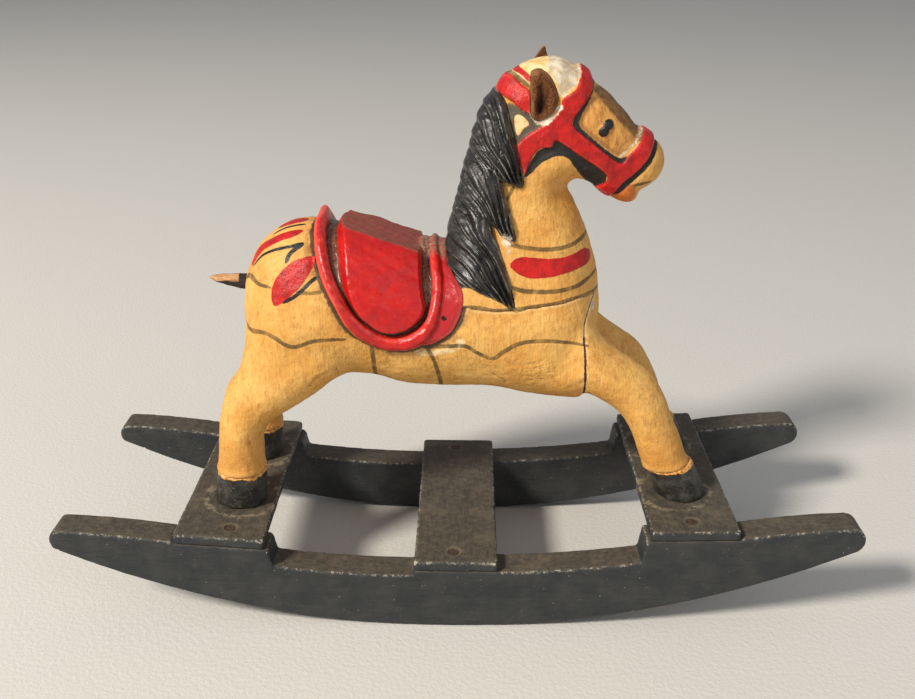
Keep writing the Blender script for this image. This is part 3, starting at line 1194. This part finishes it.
def saddle_material():
    """Glossy red, dull and dusty on the flat top and in the gap, pinker outside the roll."""
    p = Paint("saddle_red")
    clouds = p.noise(4, 3)
    streaks = p.noise(0.6, 3, 0.6, (1, 1, 7))
    edge = p.noise(0.8, 2, 0.6, shift=2.0)
    dust = p.noise(0.7, 3, 0.7, shift=6.0)
    p.colour = p.blend(clouds, 0.35, 0.65, RED, tint(176, 20, 20))
    p.lay(p.ramp(streaks, 0.5, 0.75), 0.4, RED_DEEP)
    p.lay(p.times(p.ramp("roll", -0.05, -0.3), p.ramp("seat", -1.5, -2.5)), 0.6, tint(170, 40, 46))
    p.lay(p.times(p.ramp("bend", 0.08, 0.26), p.ramp("seat", 0.4, -0.6)), 0.7, tint(232, 92, 76))
    top = p.times(p.ramp("facet", 0.0, 0.2), p.area("seat", edge, 0.3))
    p.lay(top, 0.85, p.blend(dust, 0.4, 0.62, tint(132, 58, 46), tint(120, 84, 62)))
    gap = p.times(p.ramp("roll", 0.35, -0.15), p.ramp("seat", 0.55, -0.1))
    gap = p.times(gap, p.ramp("inner", 0.0, 0.5))
    p.lay(gap, 0.9, p.blend(dust, 0.35, 0.6, tint(66, 36, 26), tint(128, 92, 66)))
    p.lay(p.ramp("bend", -0.05, -0.3), 0.8, tint(58, 24, 18))
    p.lay(p.ramp(dust, 0.64, 0.7), 0.5, tint(150, 110, 84))
    dirt = p.times(p.area("dirt", clouds, 0.8, 0.0, 2.5), p.ramp(dust, 0.3, 0.55))
    p.lay(dirt, 0.85, p.blend(dust, 0.4, 0.6, tint(104, 76, 56), tint(150, 122, 98)))
    p.lay(p.area("hole", edge, 0.15), 1, tint(34, 14, 12))
    p.raise_by(streaks, 0.06)
    p.raise_by(clouds, 0.3)
    p.raise_by(dust, 0.08)
    return p.done(p.plus(p.plus(0.18, p.times(dust, 0.28)), p.times(top, 0.35)), 0.5)


def mane_material():
    """Black paint, rubbed grey on the ridges."""
    p = Paint("mane_black")
    strands = p.noise(0.35, 3, 0.6, (1, 1, 10))
    dust = p.noise(0.6, 3, 0.7, shift=4.0)
    patches = p.noise(3, 2, 0.5, shift=1.0)
    p.colour = p.blend(strands, 0.4, 0.7, tint(29, 28, 27), tint(54, 51, 46))
    p.lay(p.ramp(patches, 0.45, 0.7), 0.45, tint(72, 67, 58))
    worn = p.times(p.ramp("bend", 0.12, 0.3), p.ramp(p.noise(3.0, 2, 0.6, shift=9.0), 0.42, 0.6))
    p.lay(worn, 0.55, tint(140, 134, 124))
    p.lay(p.ramp("bend", -0.03, -0.14), 0.8, tint(14, 12, 11))
    p.lay(p.ramp(dust, 0.68, 0.74), 0.35, tint(128, 116, 100))
    p.lay(p.area("tip", dust, 0.15, 0.0, 3.0), 1, BONE)
    p.raise_by(strands, 0.08)
    p.raise_by(dust, 0.03)
    return p.done(p.plus(0.2, p.times(patches, 0.3)), 0.5)


def hoof_material():
    """Black paint, dusty, with the leg's ochre lapping over the top."""
    p = Paint("hoof_black")
    dust = p.noise(0.7, 3, 0.7)
    patches = p.noise(3, 3, 0.6, shift=3.0)
    p.colour = p.blend(patches, 0.4, 0.7, tint(34, 33, 31), tint(72, 68, 60))
    p.lay(p.times(p.ramp("bend", 0.08, 0.25), p.ramp(dust, 0.4, 0.6)), 0.6, tint(146, 134, 114))
    p.lay(p.ramp(dust, 0.62, 0.7), 0.6, tint(120, 110, 94))
    lip = p.area("lip", patches, 0.1, 0.0, 2.4)
    p.lay(lip, 1, p.blend(dust, 0.4, 0.6, OCHRE_DEEP, OCHRE_PALE))
    p.raise_by(dust, 0.12)
    p.raise_by(patches, 0.3)
    p.raise_by(lip, 0.25)
    return p.done(p.plus(0.3, p.times(dust, 0.35)), 0.45)


def base_material(name, run):
    """Blue-black paint on the rockers and slats: dusty on top, rubbed pale along the upper edges."""
    p = Paint(name)
    grain = p.noise(0.6, 3, 0.6, run)
    dust = p.noise(1.6, 4, 0.7, shift=3.0)
    patches = p.noise(7, 3, 0.6, shift=5.0)
    specks = p.noise(0.5, 1, 0.5, shift=9.0)
    chipped = p.noise(1.1, 3, 0.75, shift=7.0)
    p.colour = p.blend(patches, 0.35, 0.7, tint(42, 45, 47), tint(56, 57, 56))
    p.lay(p.ramp(grain, 0.5, 0.7), 0.35, tint(30, 31, 32))
    top = p.ramp("up", 0.55, 0.9)
    dusty = p.blend(dust, 0.3, 0.75, tint(66, 60, 50), tint(98, 88, 72))
    dusty = p.mix(p.times(p.ramp(grain, 0.45, 0.7), 0.35), dusty, tint(46, 42, 37))
    dusty = p.mix(p.times(p.ramp(patches, 0.5, 0.7), 0.4), dusty, tint(112, 100, 82))
    p.lay(top, 0.85, dusty)
    worn = p.times(p.ramp("bend", 0.12, 0.24), p.ramp(chipped, 0.52, 0.58))
    worn = p.times(worn, p.times(p.ramp("up", 0.02, 0.35), p.ramp("covered", 0.5, 0.1)))
    p.lay(worn, 0.85, tint(190, 180, 162))
    p.lay(p.ramp(specks, 0.765, 0.785), 0.6, tint(160, 152, 136))
    ring = p.times(p.area("ring", patches, 0.4, 0.0, 4.0), p.ramp(dust, 0.42, 0.58))
    p.lay(ring, 0.6, tint(150, 134, 108))
    p.lay(p.area("rust", dust, 0.5, 0.3, 1.5), 0.6, tint(112, 96, 76))
    p.lay(p.area("rust", dust, 0.3, -0.45, 0.8), 0.8, tint(48, 36, 28))
    p.raise_by(grain, 0.16)
    p.raise_by(dust, 0.22)
    p.raise_by(patches, 0.3)
    return p.done(p.plus(p.plus(0.40, p.times(dust, 0.3)), p.times(top, 0.15)), 0.4)


def ear_material():
    """Brown suede, paler along the rim, dark in the hollow."""
    p = Paint("ear_suede")
    nap = p.noise(0.35, 3, 0.7)
    patches = p.noise(1.6, 2, 0.6, shift=2.0)
    p.colour = p.blend(nap, 0.35, 0.65, tint(70, 38, 18), tint(136, 88, 50))
    p.lay(p.ramp(patches, 0.45, 0.7), 0.5, tint(96, 52, 26))
    p.lay(p.ramp("bend", 0.04, 0.2), 0.6, tint(158, 112, 74))
    p.lay(p.ramp("bend", -0.02, -0.2), 0.8, tint(44, 20, 8))
    p.lay(p.ramp("pit", -0.2, 1.6), 0.75, tint(34, 15, 7))
    p.raise_by(nap, 0.34)
    return p.done(p.plus(0.7, p.times(nap, 0.25)), 0.2)


def wood_material(name):
    """Bare wood: pale, with grain along x, and black paint daubed where the tail's "daub" is high."""
    p = Paint(name)
    grain = p.noise(0.4, 3, 0.6, (12, 1, 1))
    rings = p.noise(1.5, 2, 0.5, (8, 1, 1), 2.0)
    p.colour = p.blend(grain, 0.35, 0.7, tint(212, 166, 116), tint(156, 108, 66))
    p.lay(p.ramp(rings, 0.4, 0.7), 0.5, tint(130, 88, 52))
    p.lay(p.area("daub", rings, 0.15), 1, tint(40, 34, 28))
    p.raise_by(grain, 0.08)
    return p.done(p.plus(0.55, p.times(grain, 0.2)), 0.3)


def nail_material():
    """Rusty steel, with a little bare metal."""
    p = Paint("nail_rust")
    crust = p.noise(0.4, 3, 0.7)
    patches = p.noise(1.0, 2, 0.6, shift=2.0)
    p.colour = p.blend(crust, 0.35, 0.65, tint(44, 34, 28), tint(92, 68, 50))
    p.lay(p.ramp(patches, 0.4, 0.6), 0.6, tint(64, 56, 48))
    p.raise_by(crust, 0.25)
    p.feed(p.shader.inputs["Metallic"], p.times(p.ramp(patches, 0.5, 0.8), 0.4))
    return p.done(p.plus(0.5, p.times(crust, 0.4)), 0.4)


# ---------------------------------------------------------------- putting the pieces in place

def mark_warmth(piece):
    """Stores where the ochre turns orange: low on the legs and under the belly."""
    x, _, z = corners_of(piece)[0].T
    legs = (50 - z) / 12
    belly = (62 - z) / 14 * (np.abs(x - 8) < 24)
    mark(piece, warm=np.clip(np.maximum(legs, belly), 0, 1))


def build_horse():
    ochre = horse_material()
    carved = {"torso": torso_piece(), "head_neck": head_piece()}
    carved.update(leg_pieces())
    for node, piece in carved.items():
        mark_warmth(piece)
        finish_piece(piece, node, ochre)
    finish_piece(saddle_piece(), "saddle", saddle_material())
    finish_piece(mane_piece(), "mane", mane_material())
    hoof_black = hoof_material()
    for node, piece in hoof_pieces().items():
        finish_piece(piece, node, hoof_black)
    suede = ear_material()
    for hand, side in HANDS:
        node = f"ear_{hand}"
        finish_piece(ear_piece(node, hand, side), node, suede)
    finish_piece(tail_piece(), "tail_stub", wood_material("tail_wood"), 35)


def build_base():
    along_x = base_material("rocker_paint", (9, 1, 1))
    along_y = base_material("slat_paint", (1, 9, 1))
    for node, piece in board_pieces().items():
        finish_piece(piece, node, along_x if node in ROCKERS else along_y)
    dress_nodes(("slat_nails", "hoof_nails"), nail_material())
    dress_nodes(("leg_dowels", "neck_dowel"), wood_material("dowel_wood"))


def dress_nodes(nodes, material):
    """Gives CAD pieces that are shown as they are a material."""
    for node in nodes:
        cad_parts[node].data.materials.clear()
        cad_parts[node].data.materials.append(material)


# ---------------------------------------------------------------- floor, light and camera

LAMP_AIM = (0, 0, 0.06)


def make_floor():
    """A wide pale floor at z = 0."""
    half = 6.0                                 # metres
    corners = [(-half, -half, 0), (half, -half, 0), (half, half, 0), (-half, half, 0)]
    mesh = bpy.data.meshes.new("floor")
    mesh.from_pydata(corners, [], [(0, 1, 2, 3)])
    floor = bpy.data.objects.new("floor", mesh)
    bpy.context.scene.collection.objects.link(floor)
    p = Paint("floor_pale")
    pores = p.noise(1.2, 3, 0.6)
    p.colour = p.mix(pores, tint(206, 203, 196), tint(212, 209, 202))
    p.raise_by(pores, 0.2)
    floor.data.materials.append(p.done(0.75, 0.2))


def area_light(name, place, size, power, colour):
    """A soft round lamp aimed at the horse's middle. Lengths are metres."""
    lamp = bpy.data.lights.new(name, "AREA")
    lamp.shape = "DISK"
    lamp.size = size
    lamp.energy = power
    lamp.color = colour
    holder = bpy.data.objects.new(name, lamp)
    holder.location = place
    holder.rotation_euler = (Vector(LAMP_AIM) - Vector(place)).to_track_quat("-Z", "Y").to_euler()
    bpy.context.scene.collection.objects.link(holder)


def make_world(colour, strength):
    """Even light from all round."""
    world = bpy.data.worlds.new("world")
    world.use_nodes = True
    background = world.node_tree.nodes["Background"]
    background.inputs["Color"].default_value = (*colour, 1)
    background.inputs["Strength"].default_value = strength
    bpy.context.scene.world = world


def make_camera():
    """Looks at the horse's right side from a little above its middle."""
    camera = bpy.data.cameras.new("camera")
    camera.lens = 38.13
    camera.sensor_width = 36.0
    camera.clip_start = 0.01
    holder = bpy.data.objects.new("camera", camera)
    holder.location = Vector((2.98, -230.34, 166.5)) * MM
    pitch, yaw, roll = math.radians(24.0), math.radians(0.484), math.radians(-0.376)
    turns = (Euler((0, 0, yaw)), Euler((math.pi / 2 - pitch, 0, 0)), Euler((0, 0, -roll)))
    pan, tilt, lean = (turn.to_matrix() for turn in turns)
    holder.rotation_euler = (pan @ tilt @ lean).to_euler()
    bpy.context.scene.collection.objects.link(holder)
    bpy.context.scene.camera = holder


build_horse()
build_base()
make_floor()
area_light("key", place=(-1.05, -0.85, 1.15), size=0.32, power=37, colour=(1.0, 0.94, 0.85))
area_light("fill", place=(1.0, -1.0, 0.8), size=1.2, power=3.5, colour=(0.95, 0.97, 1.0))
make_world((0.9, 0.93, 1), 0.36)
bpy.context.scene.view_settings.view_transform = "Standard"
make_camera()
